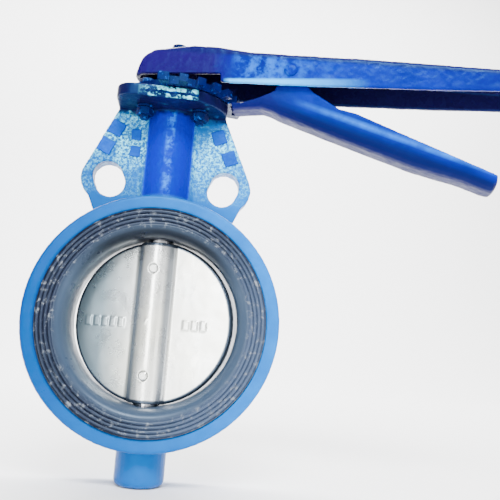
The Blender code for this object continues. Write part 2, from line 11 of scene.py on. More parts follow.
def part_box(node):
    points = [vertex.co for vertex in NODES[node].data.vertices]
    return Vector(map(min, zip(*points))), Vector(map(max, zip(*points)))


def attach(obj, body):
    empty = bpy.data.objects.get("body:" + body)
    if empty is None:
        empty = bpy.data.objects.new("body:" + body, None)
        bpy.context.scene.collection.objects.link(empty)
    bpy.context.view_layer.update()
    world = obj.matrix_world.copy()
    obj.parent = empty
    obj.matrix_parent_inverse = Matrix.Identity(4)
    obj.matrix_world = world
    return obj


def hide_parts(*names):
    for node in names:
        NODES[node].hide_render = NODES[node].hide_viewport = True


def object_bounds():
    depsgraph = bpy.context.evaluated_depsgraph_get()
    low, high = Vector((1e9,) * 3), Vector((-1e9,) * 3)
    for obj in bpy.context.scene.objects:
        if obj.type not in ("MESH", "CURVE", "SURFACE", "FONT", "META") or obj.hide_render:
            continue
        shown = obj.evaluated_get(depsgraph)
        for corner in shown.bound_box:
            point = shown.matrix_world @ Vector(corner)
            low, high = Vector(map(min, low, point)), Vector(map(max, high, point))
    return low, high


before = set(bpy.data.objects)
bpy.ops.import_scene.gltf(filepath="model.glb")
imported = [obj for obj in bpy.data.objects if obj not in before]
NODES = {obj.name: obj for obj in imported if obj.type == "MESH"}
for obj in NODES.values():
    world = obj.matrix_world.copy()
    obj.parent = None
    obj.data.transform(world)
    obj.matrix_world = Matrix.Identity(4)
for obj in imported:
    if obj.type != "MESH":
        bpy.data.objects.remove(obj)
CAD_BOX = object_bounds()
REST_TURN = math.radians(-15)
ALONG_BORE = Matrix.Rotation(math.pi / 2, 4, "X")
TURNED = Matrix.Rotation(REST_TURN, 4, "Z")
ALONG_LEVER = (math.cos(REST_TURN), math.sin(REST_TURN), 0)
ACROSS_LEVER = (-math.sin(REST_TURN), math.cos(REST_TURN), 0)
SCENE = bpy.context.scene

# Body
WEB_HALF_THICKNESS = 0.0060
NECK_FILLET = 0.0040
NECK_FILLET_ACROSS = 0.0152

# Seat, all radii from the bore's axis
SEAT_FACE = 0.0260
SEAT_OUTER_RADIUS = 0.0693
SEAT_BACK_RADIUS = 0.0600
SEAT_LIP_BACK = 0.0215
SEAT_BORE_RADIUS = 0.0520
SEAT_STRAIGHT_HALF = 0.0140
SEAT_RIDGE_WIDTH = 0.00235
SEAT_RIDGE_COUNT = 4
SEAT_RIDGE_DEPTH = 0.0009
SEAT_RIDGE_FALL = 0.00045
SEAT_MOUTH_DROP = 0.0016
STEM_HOLE_RADIUS = 0.0083

# Disc
DISC_HALF_THICKNESS = 0.0042
HUB_FILLET = 0.0018
HUB_FILLET_ACROSS = 0.0114
BLOCK_PITCH = 0.0055

# Fasteners
HEXAGON_ACROSS = 0.0100
HEAD_HEIGHT = 0.0040
THREAD_OVERLAP = 0.0005
BOLT_RADIUS = 0.0030
NUT_HOLE_RADIUS = 0.0033

# Latch pivot and spring; the pivot is (distance from the stem, height)
PIVOT = (0.0795, 0.1643)
LEVER_HALF_WIDTH = 0.0178
PIN_RADIUS = 0.0029
PIN_HEAD_RADIUS = 0.0042
PIN_TAIL = 0.0028
SPRING_COIL_RADIUS = 0.0046
SPRING_HALF_LENGTH = 0.0060
SPRING_WIRE_RADIUS = 0.0006


# Mesh tools


def new_object(name, mesh):
    obj = bpy.data.objects.new(name, mesh)
    SCENE.collection.objects.link(obj)
    return obj


def smooth(obj, angle=40):
    obj.data.shade_smooth()
    obj.data.set_sharp_from_angle(angle=math.radians(angle))


def welded_copy(node):
    """A bmesh of a CAD node's mesh, with the vertices of its flat-shaded edges merged again."""
    bm = bmesh.new()
    bm.from_mesh(NODES[node].data)
    bmesh.ops.remove_doubles(bm, verts=bm.verts, dist=0.000002)
    return bm


def add_slab(bm, centre, size, matrix=Matrix.Identity(4)):
    """A closed box added to a bmesh that is remeshed later, which joins the two."""
    shape = Matrix.Translation(centre) @ Matrix.Diagonal((*size, 1))
    bmesh.ops.create_cube(bm, size=1, matrix=matrix @ shape)


def remeshed(name, bm, voxel, rounds):
    """One smooth skin over everything in the bmesh, its edges and corners softened as in a casting."""
    mesh = bpy.data.meshes.new(name)
    bm.to_mesh(mesh)
    bm.free()
    source = new_object(name + "_source", mesh)
    remesh = source.modifiers.new("skin", "REMESH")
    remesh.mode = "VOXEL"
    remesh.voxel_size = voxel * 1
    soften = source.modifiers.new("soften", "SMOOTH")
    soften.factor = 0.5
    soften.iterations = max(1, round(rounds / (1)))
    bpy.context.view_layer.update()
    graph = bpy.context.evaluated_depsgraph_get()
    result = bpy.data.meshes.new_from_object(source.evaluated_get(graph))
    bpy.data.objects.remove(source, do_unlink=True)
    obj = new_object(name, result)
    obj.data.shade_smooth()
    return obj


def lathe(name, profile, steps, matrix=Matrix.Identity(4), closed=True):
    """A closed or open profile of (radius, height) points turned about Z."""
    bm = bmesh.new()
    rings = []
    for radius, height in profile:
        if radius < 1e-7:
            rings.append([bm.verts.new((0, 0, height))])
            continue
        ring = []
        for i in range(steps):
            angle = math.tau * i / steps
            ring.append(bm.verts.new((radius * math.cos(angle), radius * math.sin(angle), height)))
        rings.append(ring)
    pairs = list(zip(rings, rings[1:]))
    if closed:
        pairs.append((rings[-1], rings[0]))
    for first, second in pairs:
        for i in range(steps):
            j = (i + 1) % steps
            corners = [first[i % len(first)], first[j % len(first)]]
            corners += [second[j % len(second)], second[i % len(second)]]
            unique = list(dict.fromkeys(corners))
            if len(unique) > 2:
                bm.faces.new(unique)
    bmesh.ops.recalc_face_normals(bm, faces=bm.faces)
    mesh = bpy.data.meshes.new(name)
    bm.to_mesh(mesh)
    bm.free()
    mesh.transform(matrix)
    obj = new_object(name, mesh)
    smooth(obj)
    return obj


def roughen(obj, amount, scale, weight=None, octaves=3):
    """Moves each vertex along its normal by smooth noise, as in a sand casting or thick paint."""
    mesh = obj.data
    count = len(mesh.vertices)
    places = np.empty(count * 3)
    normals = np.empty(count * 3)
    mesh.vertices.foreach_get("co", places)
    mesh.vertex_normals.foreach_get("vector", normals)
    places = places.reshape(-1, 3)
    lumps = np.array([noise.fractal(Vector(place) * scale, 1.0, 2.0, octaves) for place in places])
    if weight:
        lumps = lumps * weight(places)
    places = places + normals.reshape(-1, 3) * (lumps * amount)[:, None]
    places = np.clip(places, CAD_BOX[0], CAD_BOX[1])
    mesh.vertices.foreach_set("co", places.ravel())
    mesh.update()


def drill(obj, radius, bottom, top, steps, place=(0, 0, 0)):
    """Cuts a round hole along Z through a finished mesh."""
    profile = [(0, bottom), (radius, bottom), (radius, top), (0, top)]
    cutter = lathe(obj.name + "_drill", profile, steps, closed=False)
    cutter.location = place
    hole = obj.modifiers.new("hole", "BOOLEAN")
    hole.operation = "DIFFERENCE"
    hole.object = cutter
    bpy.context.view_layer.update()
    graph = bpy.context.evaluated_depsgraph_get()
    cut_mesh = bpy.data.meshes.new_from_object(obj.evaluated_get(graph))
    obj.modifiers.clear()
    obj.data = cut_mesh
    bpy.data.objects.remove(cutter, do_unlink=True)


def ramp(values, low, high):
    return np.clip((values - low) / (high - low), 0, 1)


def mesh_object(name, bm, matrix=None, angle=40):
    if matrix:
        bm.transform(matrix)
    bmesh.ops.recalc_face_normals(bm, faces=bm.faces)
    mesh = bpy.data.meshes.new(name)
    bm.to_mesh(mesh)
    bm.free()
    obj = new_object(name, mesh)
    smooth(obj, angle)
    return obj


def add_rings(bm, rings):
    """Closed rows of points joined one to the next, and capped at the first and the last."""
    rows = [[bm.verts.new(point) for point in ring] for ring in rings]
    for first, second in zip(rows, rows[1:]):
        for i in range(len(first)):
            bm.faces.new((first[i - 1], first[i], second[i], second[i - 1]))
    bm.faces.new(rows[0])
    bm.faces.new(rows[-1])


def add_hexagon(bm, across, bottom, top, chamfer=0.0006):
    """A hexagon with both ends turned to a cone, so that its corners carry curved chamfers."""
    steps = 60
    flat = across / 2
    rings = []
    layers = [(bottom, 0), (bottom + chamfer * 0.5, 0.5), (bottom + chamfer, 1)]
    layers += [(top - chamfer, 1), (top - chamfer * 0.5, 0.5), (top, 0)]
    for height, share in layers:
        cone = flat * 0.96 + share * flat * 0.2
        ring = []
        for i in range(steps):
            angle = math.tau * i / steps
            reach = flat / math.cos((angle % (math.pi / 3)) - math.pi / 6)
            radius = min(reach, cone)
            ring.append((radius * math.cos(angle), radius * math.sin(angle), height))
        rings.append(ring)
    add_rings(bm, rings)


def add_thread(bm, radius, bottom, top, pitch=0.001):
    """A rod with a screw thread, its crests inside the given radius."""
    steps = 24
    rows = max(4, round((top - bottom) / pitch * 6))
    rings = []
    for row in range(rows + 1):
        height = bottom + (top - bottom) * row / rows
        ring = []
        for i in range(steps):
            angle = math.tau * i / steps
            phase = (height / pitch - i / steps) % 1
            depth = 0.0005 * abs(2 * phase - 1)
            end = min(height - bottom, top - height)
            reach = min(radius - depth, radius - 0.0005 + end)
            ring.append((reach * math.cos(angle), reach * math.sin(angle), height))
        rings.append(ring)
    add_rings(bm, rings)


# Materials


class Shader:
    """A Principled material with short calls for the nodes that feed it."""

    def __init__(self, name, colour, roughness, metallic=0.0, **sockets):
        self.material = bpy.data.materials.new(name)
        self.material.use_nodes = True
        self.tree = self.material.node_tree
        self.shader = self.tree.nodes["Principled BSDF"]
        self.set("Base Color", (*colour, 1))
        self.set("Roughness", roughness)
        self.set("Metallic", metallic)
        for socket, value in sockets.items():
            self.set(socket.replace("_", " "), value)
        self.place = self.node("ShaderNodeTexCoord").outputs["Object"]
        self.bumps = None

    def set(self, socket, value):
        self.shader.inputs[socket].default_value = value

    def node(self, kind, **values):
        made = self.tree.nodes.new(kind)
        for key, value in values.items():
            setattr(made, key, value)
        return made

    def link(self, source, target):
        self.tree.links.new(source, target)

    def noise(self, scale, detail=4, roughness=0.6, stretch=None):
        made = self.node("ShaderNodeTexNoise")
        made.inputs["Scale"].default_value = scale
        made.inputs["Detail"].default_value = detail
        made.inputs["Roughness"].default_value = roughness
        place = self.place
        if stretch:
            mapping = self.node("ShaderNodeMapping")
            mapping.inputs["Scale"].default_value = stretch
            self.link(place, mapping.inputs["Vector"])
            place = mapping.outputs["Vector"]
        self.link(place, made.inputs["Vector"])
        return made.outputs["Fac"]

    def along(self, direction):
        """Distance from the origin along a direction, in metres."""
        made = self.node("ShaderNodeVectorMath", operation="DOT_PRODUCT")
        made.inputs[1].default_value = direction
        self.link(self.place, made.inputs[0])
        return made.outputs["Value"]

    def from_axis(self, keep):
        """Distance from an axis, where keep is 1 for each direction across it."""
        made = self.node("ShaderNodeVectorMath", operation="MULTIPLY")
        made.inputs[1].default_value = keep
        self.link(self.place, made.inputs[0])
        length = self.node("ShaderNodeVectorMath", operation="LENGTH")
        self.link(made.outputs["Vector"], length.inputs[0])
        return length.outputs["Value"]

    def maths(self, operation, *values):
        made = self.node("ShaderNodeMath", operation=operation)
        for socket, value in zip(made.inputs, values):
            if isinstance(value, (int, float)):
                socket.default_value = value
            else:
                self.link(value, socket)
        return made.outputs["Value"]

    def both(self, *values):
        result = values[0]
        for value in values[1:]:
            result = self.maths("MULTIPLY", result, value)
        return result

    def sloped(self, height, reach, slope):
        """A height that is level along an edge which drops by the slope for each metre of reach."""
        return self.maths("ADD", height, self.maths("MULTIPLY", reach, slope))

    def spread(self, value, low, high, out_low=0, out_high=1):
        made = self.node("ShaderNodeMapRange")
        limits = {"From Min": low, "From Max": high, "To Min": out_low, "To Max": out_high}
        for socket, number in limits.items():
            made.inputs[socket].default_value = number
        self.link(value, made.inputs["Value"])
        return made.outputs["Result"]

    def mix(self, factor, first, second):
        made = self.node("ShaderNodeMix", data_type="RGBA")
        self.link(factor, made.inputs["Factor"])
        for socket, colour in ((made.inputs[6], first), (made.inputs[7], second)):
            if isinstance(colour, tuple):
                socket.default_value = (*colour, 1)
            else:
                self.link(colour, socket)
        return made.outputs[2]

    def bump(self, height, strength, distance):
        made = self.node("ShaderNodeBump")
        made.inputs["Strength"].default_value = strength
        made.inputs["Distance"].default_value = distance
        self.link(height, made.inputs["Height"])
        if self.bumps:
            self.link(self.bumps, made.inputs["Normal"])
        self.bumps = made.outputs["Normal"]
        self.link(self.bumps, self.shader.inputs["Normal"])

    def colour(self, source):
        self.link(source, self.shader.inputs["Base Color"])

    def roughness(self, source):
        self.link(source, self.shader.inputs["Roughness"])


# Paint colours, in linear light
# The ring's azure is the body's blue paint shown lighter as painted reflection; the neck's royal blue is
# that paint without it.
AZURE = (0.0, 0.150, 0.52)
AZURE_SHADE = (0.0, 0.110, 0.40)
# Painted shade for the ring's left side.
AZURE_DEEP = (0.0, 0.036, 0.17)
ROYAL = (0.0, 0.004, 0.27)
# Navy is painted shade: on the flange it stands for shadow, and on the notch plate and fasteners it darkens
# their blue paint further.
NAVY = (0.003, 0.002, 0.026)
# A painted highlight colour, for glints on the lug plates and the flange's front.
GLINT_BLUE = (0.16, 0.80, 1.0)
# A painted highlight colour, for the latch's shine line and the small glints on the notch plate and
# fasteners.
GLINT_CYAN = (0.0, 0.11, 0.55)


def enamel(name, light, deep, grain, gloss=0.3, shine=0.28):
    """Glossy enamel brushed over rough iron: uneven colour, orange peel and casting grain."""
    made = Shader(name, light, gloss, Specular_IOR_Level=shine, Specular_Tint=(0.04, 0.42, 1.0, 1))
    cloud = made.spread(made.noise(38, 3), 0.35, 0.65)
    made.base = made.mix(cloud, light, deep)
    made.colour(made.base)
    made.roughness(made.spread(made.noise(160, 3), 0.3, 0.7, gloss - 0.08, gloss + 0.12))
    made.bump(made.noise(420, 4, 0.7), grain, 0.0006)
    made.bump(made.noise(1500, 2), grain * 0.4, 0.0002)
    return made


def body_enamel():
    """One blue enamel with painted light: azure on the ring as painted reflection, painted shade on its
    left, the neck in the deeper blue with a painted highlight up its middle, painted highlights as pale
    specks on the lug plates and the flange's front, and painted shade as a navy flange.
    """
    made = enamel("body_enamel", AZURE, AZURE_SHADE, 0.25, 0.34)
    height = made.along((0, 0, 1))
    from_stem = made.from_axis((1, 1, 0))
    above_ring = made.spread(height, 0.0785, 0.0815)
    on_neck = made.both(made.spread(from_stem, 0.0168, 0.0180, 1, 0), above_ring)
    on_plate = made.both(made.spread(from_stem, 0.0168, 0.0180), above_ring)
    # Painted shade: the ring's left side is darkened with a cloudy deeper blue, as where its paint reflects
    # less light.
    side = made.spread(made.along((1, 0, 0)), -0.078, 0.078)
    left_cloud = made.spread(made.noise(30, 2), 0.3, 0.7)
    left_shade = made.mix(left_cloud, AZURE_DEEP, (0.0, 0.030, 0.16))
    colour = made.mix(side, left_shade, made.base)
    # Painted highlights: pale specks in patches over the lug plates, more of them higher up, stand in for
    # glints of light on the rough paint.
    glint_flecks = made.spread(made.noise(520, 5, 0.75), 0.46, 0.60)
    patches = made.spread(made.noise(55, 3), 0.34, 0.56)
    upper = made.spread(height, 0.083, 0.112, 0.25, 1)
    colour = made.mix(made.both(on_plate, glint_flecks, patches, upper), colour, GLINT_BLUE)
    # Painted light: the neck and ring carry one paint, and the neck keeps the deeper blue where the ring is
    # painted lighter as reflection.
    colour = made.mix(on_neck, colour, ROYAL)
    from_middle = made.maths("ABSOLUTE", made.along((1, 0, 0)))
    # Painted highlight: a mottled paler stripe up the middle of the neck's front.
    neck_highlight = made.both(on_neck, made.spread(from_middle, 0.0012, 0.0034, 1, 0))
    mottle = made.spread(made.noise(170, 4, 0.7), 0.46, 0.60)
    colour = made.mix(made.both(neck_highlight, mottle), colour, (0.0, 0.12, 0.62))
    # Painted shade: above a ragged line at the flange's height the body turns navy, standing in for the
    # shade on the flange.
    ragged = made.maths("ADD", height, made.spread(made.noise(140, 3), 0.3, 0.7, -0.002, 0.002))
    colour = made.mix(made.spread(ragged, 0.1335, 0.1365), colour, NAVY)
    # Painted highlights: pale spots over the middle of the flange's front face.
    glint_spots = made.spread(made.noise(300, 4, 0.7), 0.46, 0.56)
    front = made.spread(made.along((0, 1, 0)), -0.0356, -0.0350, 1, 0)
    middle = made.spread(from_middle, 0.012, 0.022, 1, 0)
    on_flange = made.spread(height, 0.137, 0.138)
    colour = made.mix(made.both(glint_spots, front, middle, on_flange), colour, GLINT_BLUE)
    made.colour(colour)
    return made.material


def pad_enamel():
    """The plain pads' paint, a deeper blue than the lug plates."""
    made = enamel("pad_enamel", (0.0, 0.030, 0.26), (0.0, 0.045, 0.32), 0.30, 0.40)
    return made.material


def lever_enamel():
    """Navy over the head, mottled cyan behind it and a royal blue arm, all painted light on one royal blue
    paint: painted shade over the head, the top edge and the arm's end, a mottled painted highlight behind
    the head with a bright painted highlight along the lower edge, and painted shade that makes the hollow
    inside nearly black.
    """
    made = enamel("lever_enamel", (0.0, 0.006, 0.20), (0.0, 0.002, 0.135), 0.14, 0.26, 0.14)
    reach = made.along(ALONG_LEVER)
    aside = made.along(ACROSS_LEVER)
    across = made.maths("ABSOLUTE", aside)
    height = made.along((0, 0, 1))
    # Painted shade: the arm darkens towards its end.
    colour = made.mix(made.spread(reach, 0.150, 0.240), made.base, (0.002, 0.002, 0.11))
    # Painted highlight: mottled cyan on the side just behind the head, below the top edge.
    mottle = made.spread(made.noise(130, 4, 0.65), 0.44, 0.60)
    lit = made.both(made.spread(reach, 0.040, 0.048), made.spread(reach, 0.066, 0.115, 1, 0), mottle)
    colour = made.mix(made.both(lit, made.spread(height, 0.1790, 0.1755)), colour, (0.0, 0.075, 0.42))
    # Painted shade: the head is darkened to navy.
    head = made.spread(reach, 0.028, 0.046, 1, 0)
    colour = made.mix(head, colour, (0.009, 0.002, 0.070))
    # Painted shade: a dark line along the lever's top edge.
    level = made.sloped(height, reach, 0.0751)
    colour = made.mix(made.spread(level, 0.1762, 0.1785), colour, (0.006, 0.004, 0.06))
    # Painted highlight: a bright cyan line along the side's lower edge behind the head.
    behind_head = made.both(made.spread(reach, 0.036, 0.040), made.spread(reach, 0.070, 0.130, 1, 0))
    low_edge_glint = made.both(made.spread(height, 0.1588, 0.1572), behind_head)
    colour = made.mix(low_edge_glint, colour, (0.02, 0.40, 0.95))
    # Painted shade: the hollow between the walls, under the roof, is made nearly black.
    between_walls = made.spread(across, 0.0152, 0.0144)
    under_roof = made.both(made.spread(height, 0.1560, 0.1570), made.spread(height, 0.1735, 0.1715))
    inside = made.both(between_walls, under_roof)
    colour = made.mix(inside, colour, (0.008, 0.005, 0.034))
    # Painted shade: the far side of the channel is darkened.
    far_wall = made.both(made.spread(aside, 0.008, 0.010), made.spread(aside, 0.0170, 0.0164))
    made.colour(made.mix(far_wall, colour, (0.006, 0.004, 0.040)))
    return made.material


def latch_enamel():
    """Royal blue, with painted shade along the underside and over the pawl, a painted highlight line along
    its side and the tip painted lighter.
    """
    made = enamel("latch_enamel", (0.0, 0.006, 0.19), (0.0, 0.003, 0.13), 0.14, 0.42, 0.14)
    reach = made.along(ALONG_LEVER)
    level = made.sloped(made.along((0, 0, 1)), reach, 0.3548)
    # Painted shade: the underside is darkened along its length.
    colour = made.mix(made.spread(level, 0.1672, 0.1728, 1, 0), made.base, (0.003, 0.002, 0.05))
    # Painted highlight: a streaky cyan line along the side, above the dark underside.
    shine = made.both(made.spread(level, 0.1715, 0.1745), made.spread(level, 0.1745, 0.1775, 1, 0))
    streak = made.spread(made.noise(90, 3), 0.35, 0.60, 0.45, 1)
    colour = made.mix(made.both(shine, streak, made.spread(reach, 0.080, 0.115)), colour, GLINT_CYAN)
    # Painted shade over the pawl.
    colour = made.mix(made.spread(reach, 0.066, 0.090, 1, 0), colour, (0.005, 0.003, 0.07))
    # Painted light: the tip is shown lighter, above the dark underside.
    tip = made.both(made.spread(reach, 0.190, 0.232), made.spread(level, 0.1672, 0.1728))
    colour = made.mix(tip, colour, (0.0, 0.022, 0.42))
    made.colour(colour)
    return made.material


def plate_enamel():
    """Navy paint with small bright spots, for the notch plate and the fasteners: dark blue paint darkened
    further as painted shade, the spots painted highlights.
    """
    # Dark blue paint, darkened further to navy as painted shade.
    made = enamel("plate_enamel", NAVY, (0.001, 0.003, 0.05), 0.25, 0.28, 0.20)
    # Painted highlights: small cyan spots.
    glint_spots = made.spread(made.noise(300, 4, 0.7), 0.60, 0.68)
    made.colour(made.mix(glint_spots, made.base, GLINT_CYAN))
    return made.material


def seat_rubber():
    """Black rubber with pale scuffs on the ridges, a painted sheen on the right and lower face, and a greyer
    painted sheen inside the bore with painted shade in its upper part.
    """
    sheen = {"Specular_IOR_Level": 0.28, "Specular_Tint": (0.55, 0.75, 1.0, 1)}
    made = Shader("seat_rubber", (0.018, 0.020, 0.026), 0.34, **sheen)
    radius = made.from_axis((1, 0, 1))
    # Painted reflection: the bore is lighter and greyer than the faces.
    bore = made.spread(radius, 0.0600, 0.0560)
    colour = made.mix(bore, (0.010, 0.013, 0.026), (0.030, 0.048, 0.080))
    height = made.along((0, 0, 1))
    # Painted sheen: the front faces grow lighter towards the right and the bottom.
    sheen_side = made.maths("SUBTRACT", made.along((1, 0, 0)), made.maths("MULTIPLY", height, 0.5))
    on_face = made.spread(radius, 0.0570, 0.0600)
    face_sheen = made.both(on_face, made.spread(sheen_side, 0.010, 0.060))
    colour = made.mix(face_sheen, colour, (0.040, 0.058, 0.100))
    # Painted shade: the upper part of the bore is darkened.
    upper = made.both(bore, made.spread(height, 0.020, 0.045))
    colour = made.mix(upper, colour, (0.003, 0.004, 0.008))
    scuff = made.both(made.spread(made.noise(240, 5, 0.75), 0.55, 0.66), on_face)
    made.colour(made.mix(scuff, colour, (0.16, 0.18, 0.21)))
    made.roughness(made.spread(made.noise(70, 4), 0.3, 0.7, 0.24, 0.44))
    made.bump(made.noise(700, 4), 0.14, 0.0003)
    return made.material


def disc_stainless():
    """Pale satin stainless with faint warm and cool clouding, and painted shade over its left half, beside
    the hub and round the rim.
    """
    made = Shader("disc_stainless", (0.80, 0.82, 0.80), 0.34, 0.75)
    cloud = made.spread(made.noise(24, 4), 0.3, 0.7)
    warm = made.spread(made.noise(14, 3), 0.4, 0.65)
    base = made.mix(cloud, (0.88, 0.90, 0.88), (0.66, 0.70, 0.73))
    # Painted shade: the left half is darkened towards its edge, as where it reflects less light.
    left = made.spread(made.along((1, 0, 0)), -0.008, -0.034)
    base = made.mix(warm, base, (0.90, 0.90, 0.80))
    base = made.mix(left, base, (0.24, 0.32, 0.36))
    # Painted shade in bands on both sides of the hub.
    across = made.along(ALONG_LEVER)
    shaded = made.both(made.spread(across, -0.0130, -0.0108), made.spread(across, -0.0066, -0.0090))
    base = made.mix(shaded, base, (0.16, 0.20, 0.26))
    right_shade = made.both(made.spread(across, 0.0070, 0.0092), made.spread(across, 0.0128, 0.0108))
    base = made.mix(right_shade, base, (0.38, 0.41, 0.44))
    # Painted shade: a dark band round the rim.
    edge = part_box("disc")[1][2]
    rim = made.spread(made.from_axis((1, 1, 1)), edge - 0.0018, edge - 0.0010)
    made.colour(made.mix(rim, base, (0.05, 0.07, 0.10)))
    made.roughness(made.spread(made.noise(60, 5), 0.3, 0.7, 0.22, 0.36))
    made.bump(made.noise(420, 4, 0.65), 0.05, 0.0003)
    return made.material


def steel(name, colour, roughness):
    """Bare turned steel with fine tool marks."""
    made = Shader(name, colour, roughness, 1.0)
    made.roughness(made.spread(made.noise(300, 3), 0.3, 0.7, roughness - 0.08, roughness + 0.12))
    made.bump(made.noise(900, 2, stretch=(1, 1, 6)), 0.08, 0.0002)
    return made.material


def bush_polymer():
    """The stem bushes' pale bearing plastic."""
    made = Shader("bush_polymer", (0.75, 0.72, 0.62), 0.5)
    made.bump(made.noise(800, 2), 0.1, 0.0002)
    return made.material


BODY = body_enamel()
PAD = pad_enamel()
LEVER = lever_enamel()
LATCH = latch_enamel()
PLATE = plate_enamel()
RUBBER = seat_rubber()
DISC = disc_stainless()
STEEL = steel("ground_steel", (0.55, 0.55, 0.57), 0.28)
DARK_STEEL = steel("spring_steel", (0.28, 0.28, 0.30), 0.36)
POLYMER = bush_polymer()


def dress(obj, material):
    """Gives an object one material in place of any that it had."""
    obj.data.materials.clear()
    obj.data.materials.append(material)


def piece(obj, material, body, slot, *replaced):
    """Dresses a piece, ties it to its body and hides the CAD nodes that it replaces; the slot is not used.
    """
    dress(obj, material)
    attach(obj, body)
    if replaced:
        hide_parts(*replaced)


# Body and seat


def make_body():
    """The casting with fillets where the lug plates meet the neck, its skin roughest on the plates."""
    bm = welded_copy("body_casting")
    fillet = Matrix.Rotation(math.pi / 4, 4, "Z")
    for side in (-1, 1):
        for face in (-1, 1):
            spot = Matrix.Translation((side * NECK_FILLET_ACROSS, face * WEB_HALF_THICKNESS, 0.108))
            add_slab(bm, (0, 0, 0), (NECK_FILLET, NECK_FILLET, 0.058), spot @ fillet)
    obj = remeshed("cast_body", bm, 0.0008, 4)

    def cast_skin(places):
        plates = ramp(places[:, 2], 0.080, 0.084) * ramp(places[:, 2], 0.137, 0.134)
        return 0.35 + 0.65 * plates

    roughen(obj, 0.00022, 420, cast_skin)
    piece(obj, BODY, "valve_body", "body_paint", "body_casting")


# Plain pads where the casting carries lettering: (across, up, width, height, lean in degrees).
LUG_PADS = [
    (0.0318, 0.1250, 0.0090, 0.0096, 22),
    (0.0398, 0.1112, 0.0090, 0.0096, 22),
    (-0.0355, 0.1244, 0.0094, 0.0098, -24),
    (-0.0412, 0.1118, 0.0094, 0.0098, -24),
    (-0.0226, 0.1212, 0.0066, 0.0072, 0),
    (-0.0224, 0.1098, 0.0066, 0.0072, 0),
]


def make_pads():
    """The soft-edged pads on the front of the lug plates."""
    bm = bmesh.new()
    for x, z, width, height, lean in LUG_PADS:
        turn = Matrix.Translation((x, -0.0062, z)) @ Matrix.Rotation(math.radians(-lean), 4, "Y")
        add_slab(bm, (0, 0, 0), (width, 0.0017, height), turn)
    obj = remeshed("lug_pads", bm, 0.0004, 6)
    roughen(obj, 0.00025, 500)
    piece(obj, PAD, "valve_body", "body_paint")


def make_flange_beads():
    """Thick beads of paint on the flange's front edge."""
    bm = bmesh.new()
    for i in range(22):
        x = -0.0165 + 0.0015 * i
        size = 0.0011 + 0.0006 * abs(noise.noise(Vector((i * 1.7, 3, 0))))
        z = 0.1408 + 0.0016 * noise.noise(Vector((i * 2.3, 0, 7)))
        spot = Matrix.Translation((x, -0.0354, z)) @ Matrix.Diagonal((size, 0.0007, size * 0.9, 1))
        bmesh.ops.create_icosphere(bm, subdivisions=2, radius=1, matrix=spot)
    obj = remeshed("flange_beads", bm, 0.0003, 3)
    piece(obj, PLATE, "valve_body", "body_paint")


def seat_section():
    """One half of the seat: face with rolled ridges, flared mouth and bore, outer edge first."""
    face = SEAT_FACE
    outer = SEAT_OUTER_RADIUS
    points = [(outer, face - 0.0010), (outer - 0.0001, face - 0.0004), (outer - 0.0005, face - 0.0001)]
    ridge = SEAT_RIDGE_WIDTH
    start = outer - 0.0007
    for number in range(SEAT_RIDGE_COUNT):
        for i in range(8):
            share = i / 8
            dip = SEAT_RIDGE_DEPTH * (1 - abs(math.sin(math.pi * share)) ** 0.6)
            fall = SEAT_RIDGE_FALL * number
            points.append((start - ridge * (number + share), face - dip - fall))
    mouth = start - SEAT_RIDGE_COUNT * ridge
    straight = SEAT_STRAIGHT_HALF
    depth = face - SEAT_MOUTH_DROP - straight
    flare = mouth - SEAT_BORE_RADIUS
    for i in range(19):
        angle = math.pi / 2 * (1 - i / 18)
        points.append((mouth - flare * math.cos(angle), straight + depth * math.sin(angle)))
    return points


def make_seat():
    """The seat with both its faces, its lips round the ring and the stem's hole through it."""
    front = seat_section()
    back = [(radius, -height) for radius, height in reversed(front)]
    lip = [(SEAT_OUTER_RADIUS, SEAT_LIP_BACK + 0.0002), (SEAT_OUTER_RADIUS - 0.0002, SEAT_LIP_BACK)]
    lip.append((SEAT_BACK_RADIUS, SEAT_LIP_BACK))
    profile = front + back + [(radius, -height) for radius, height in lip] + lip[::-1]
    steps = 240
    obj = lathe("moulded_seat", profile, steps, ALONG_BORE)
    drill(obj, STEM_HOLE_RADIUS, -0.075, 0.075, 48)
    smooth(obj)
    piece(obj, RUBBER, "valve_body", "seat_rubber", "seat_liner")


# Disc


def make_disc():
    """The disc with fillets beside its hub, plain raised blocks on its front and a small centre button."""
    bm = welded_copy("disc")
    fillet = Matrix.Rotation(math.pi / 4, 4, "Z")
    for side in (-1, 1):
        for face in (-1, 1):
            spot = Matrix.Translation((side * HUB_FILLET_ACROSS, face * 0.0043, 0)) @ fillet
            add_slab(bm, (0, 0, 0), (HUB_FILLET, HUB_FILLET, 0.0960), TURNED @ spot)
    front = -DISC_HALF_THICKNESS
    for i in range(5):
        add_slab(bm, (-0.0420 + BLOCK_PITCH * i, front, -0.0012), (0.0034, 0.0011, 0.0056), TURNED)
    for i in range(3):
        add_slab(bm, (0.0225 + BLOCK_PITCH * i, front, -0.0008), (0.0036, 0.0011, 0.0058), TURNED)
    button = Matrix.Translation((-0.0012, -0.0121, 0)) @ Matrix.Diagonal((0.0014, 0.0005, 0.0014, 1))
    bmesh.ops.create_icosphere(bm, subdivisions=3, radius=1, matrix=TURNED @ button)
    obj = remeshed("cast_disc", bm, 0.0005, 4)
    roughen(obj, 0.00004, 150)
    piece(obj, DISC, "lever_and_disc", "disc_stainless", "disc")
    for name in ("upper", "lower"):
        dress(NODES["taper_pin_" + name], DISC)


# Lever, latch and fastenings


def make_lever():
    """The lever's casting under thick paint."""
    obj = remeshed("cast_lever", welded_copy("lever"), 0.0007, 4)
    roughen(obj, 0.00016, 240)
    piece(obj, LEVER, "lever_and_disc", "lever_paint", "lever")


def make_latch():
    """The latch's grip and pawl, one casting."""
    obj = remeshed("cast_latch", welded_copy("latch"), 0.0006, 4)
    roughen(obj, 0.00014, 220)
    piece(obj, LATCH, "latch", "lever_paint", "latch")


